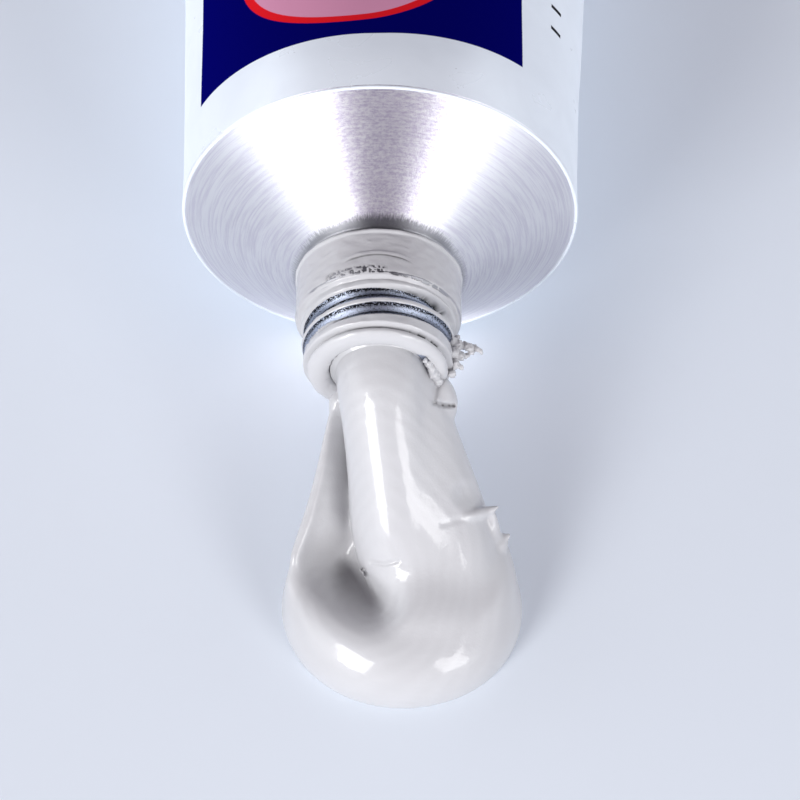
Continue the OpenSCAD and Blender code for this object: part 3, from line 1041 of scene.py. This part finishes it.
def makeFilm(around=400, step=0.036):
    s = filmSizes
    first = filmKnots[0][0]
    lipFrom = mouthUp - s["lipFrom"]
    ups = [first + step * k for k in range(int((lipFrom - first) / step))]
    lipMiddle = (s["lipRadius"] + s["boreAt"]) / 2
    lipHalf = (s["lipRadius"] - s["boreAt"]) / 2
    lipTurn = [math.radians(10 + 160 * k / 22) for k in range(23)]
    inner = [(2.25, 8.9), (2.4, 8.6), (2.6, 8.5), (2.65, 6.5), (3.3, 5.5), (3.3, 4.0), (3.7, 3.8)]
    rings = len(ups) + len(lipTurn) + len(inner)
    marksOut = {}

    def place(ring, turn):
        thin = flecksAndShade = 0.0
        a = 2 * math.pi * turn
        if ring < len(ups):
            up = ups[ring]
            radius, thin, flecksAndShade = filmPoint(up, turn)
        elif ring < len(ups) + len(lipTurn):
            b = lipTurn[ring - len(ups)]
            wave = 1 + 0.25 * ripple(1.3 * math.sin(a), 0, 1.3 * math.cos(a), seed=8)
            # the lip is bare beside the crumbs
            gap = s["gapWidth"] * between(360 * turn, *s["gapAngles"], 10)
            radius = lipMiddle + gap / 2 + (lipHalf - gap / 2) * math.cos(b)
            up = lipFrom + (s["lipOut"] + s["lipFrom"]) * math.sin(b) * wave
            spot = Vector((radius * math.sin(a), up, radius * math.cos(a)))
            torn = 0.045 * ripple(*(6 * spot), seed=4) * smoothStep(70, 150, math.degrees(b))
            radius += 0.03 * ripple(*(3 * spot), seed=9) + torn
        else:
            radius, up = inner[ring - len(ups) - len(lipTurn)]
        marksOut[(ring, turn)] = (thin, flecksAndShade)
        return Vector((radius * math.sin(a), rimY - up, axisZ + radius * math.cos(a)))

    film, marks = ringTube("film", rings, around, place)
    for index, name in enumerate(("thin", "flecksAndShade")):
        layer = film.data.attributes.new(name, "FLOAT", "POINT")
        layer.data.foreach_set("value", [marksOut[mark][index] for mark in marks])
    pick(film)
    bpy.ops.object.mode_set(mode="EDIT")
    bpy.ops.mesh.select_mode(type="EDGE")
    bpy.ops.mesh.select_all(action="DESELECT")
    bpy.ops.mesh.select_non_manifold()
    bpy.ops.mesh.bridge_edge_loops()
    bpy.ops.object.mode_set(mode="OBJECT")
    cleanMesh(film)
    return film


def makeCrumbs():
    # little torn lumps, stuck to the thread's side and to the lip
    lumps = joinPieces(*[pasteLump(x, out, z, (radius, radius, radius)) for x, out, z, radius in crumbs])
    melt(lumps, 1, voxel=0.05)
    for vertex in lumps.data.vertices:
        co = vertex.co
        proud = 0.07 * ripple(*(co / 0.16), seed=3) + 0.04 * ripple(*(co / 0.07), seed=5)
        vertex.co += vertex.normal * proud
    return lumps


neckSmear = joinPieces(makeFilm(), makeCrumbs())
toFrame(neckSmear, "neckSmear", filmSurface)


# Paste inside the tube: it follows the body, a little way in from the wall.
fillSizes = {
    "neckRadius": 2.2,
    "neckFoot": 3.0,
    "frontRadius": 8.3,
    "frontBack": 0.6,
    "from": 2.5,
    "to": 72.0,
    "inset": 0.5,
}


def makeFill(rings=40, around=96):
    s = fillSizes
    front = [(s["neckRadius"], mouthUp - 0.1), (s["neckRadius"], s["neckFoot"]),
             (s["frontRadius"], -s["frontBack"])]

    def place(ring, turn):
        if ring < len(front):
            radius, up = front[ring]
            a = 2 * math.pi * turn
            return Vector((radius * math.sin(a), rimY - up, axisZ + radius * math.cos(a)))
        back = mixed(s["from"], s["to"], (ring - len(front)) / (rings - len(front) - 1))
        left = (bodySizes["length"] - back) / bodySizes["length"]
        return pressedPoint(turn, back, inset=min(s["inset"], 2.4 * left))

    fill, marks = ringTube("fill", rings, around, place)
    cleanMesh(fill, fill=True)
    return fill


pasteFill = makeFill()
toFrame(pasteFill, "pasteFill", pasteSurface)
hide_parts("paste_fill")


# Table, light and world.
stageSetup = {
    "table": (0.79, 0.845, 0.915, 1),
    "tableRoughness": 0.7,
    "tableShine": 0.15,
    "frontSky": 0.22,
    "backSky": 0.75,
    "sideSky": 1.55,
    "sideLean": 0.15,
    "gapSky": 0.9,
    "frontColour": (0.97, 0.88, 1, 1),
    "backColour": (0.92, 0.95, 1, 1),
    "boxTurn": 38.0,
    "boxHeight": 22.0,
    "boxDistance": 1200.0,
    "boxWidth": 460.0,
    "boxTall": 560.0,
    "leftPower": 10.7,
    "rightPower": 5.8,
}


def makeStage(setup):
    deselectAll()
    bpy.ops.mesh.primitive_plane_add(size=4)
    table = bpy.context.object
    table.name = "table"
    material, tree, shader = newMaterial("tableTop", Roughness=setup["tableRoughness"])
    shader.inputs["Specular IOR Level"].default_value = setup["tableShine"]
    shader.inputs["Base Color"].default_value = setup["table"]
    table.data.materials.append(material)
    middle = Vector((0, mouthY, 5)) * 0.001
    for side, name in ((-1, "left"), (1, "right")):
        turn, height = math.radians(side * setup["boxTurn"]), math.radians(setup["boxHeight"])
        aim = pointing(turn, height)
        bpy.ops.object.light_add(type="AREA", location=middle + aim * setup["boxDistance"] * 0.001,
                                 rotation=aim.to_track_quat("Z", "Y").to_euler())
        lamp = bpy.context.object
        lamp.name = name + "Softbox"
        lamp.data.shape = "RECTANGLE"
        lamp.data.size = setup["boxWidth"] * 0.001
        lamp.data.size_y = setup["boxTall"] * 0.001
        lamp.data.energy = setup[name + "Power"]
    world = bpy.data.worlds.new("studio")
    world.use_nodes = True
    tree = world.node_tree
    way = addNode(tree, "SeparateXYZ", {"Vector": addNode(tree, "TexCoord").outputs["Generated"]})
    # the sky is brightest low down at the sides, paler behind the tube, and dim in front of it and overhead
    low = minus(tree, 1.0, way.outputs["Z"])
    behind = times(tree, rise(tree, way.outputs["Y"], -0.4, 0.5), low)
    aside = rise(tree, maths(tree, "ABSOLUTE", way.outputs["X"]), 0.42, 0.6)
    beside = times(tree, aside, rise(tree, low, 0.3, 0.65))
    level = plus(tree, setup["frontSky"], times(tree, behind, setup["backSky"] - setup["frontSky"]))
    sideLevel = minus(tree, setup["sideSky"], times(tree, way.outputs["X"], setup["sideLean"]))
    level = blendLevels(tree, beside, level, sideLevel)
    # straight in front, between the two lamps, the sky is brighter again
    level = blendLevels(tree, rise(tree, way.outputs["Y"], -0.88, -0.97), level, setup["gapSky"])
    background = tree.nodes["Background"]
    tint = larger(tree, behind, beside)
    colour = blendColours(tree, tint, setup["frontColour"], setup["backColour"])
    tree.links.new(colour, background.inputs["Color"])
    tree.links.new(level, background.inputs["Strength"])
    bpy.context.scene.world = world


makeStage(stageSetup)
bpy.context.scene.view_settings.view_transform = "Standard"
print("stage ready")
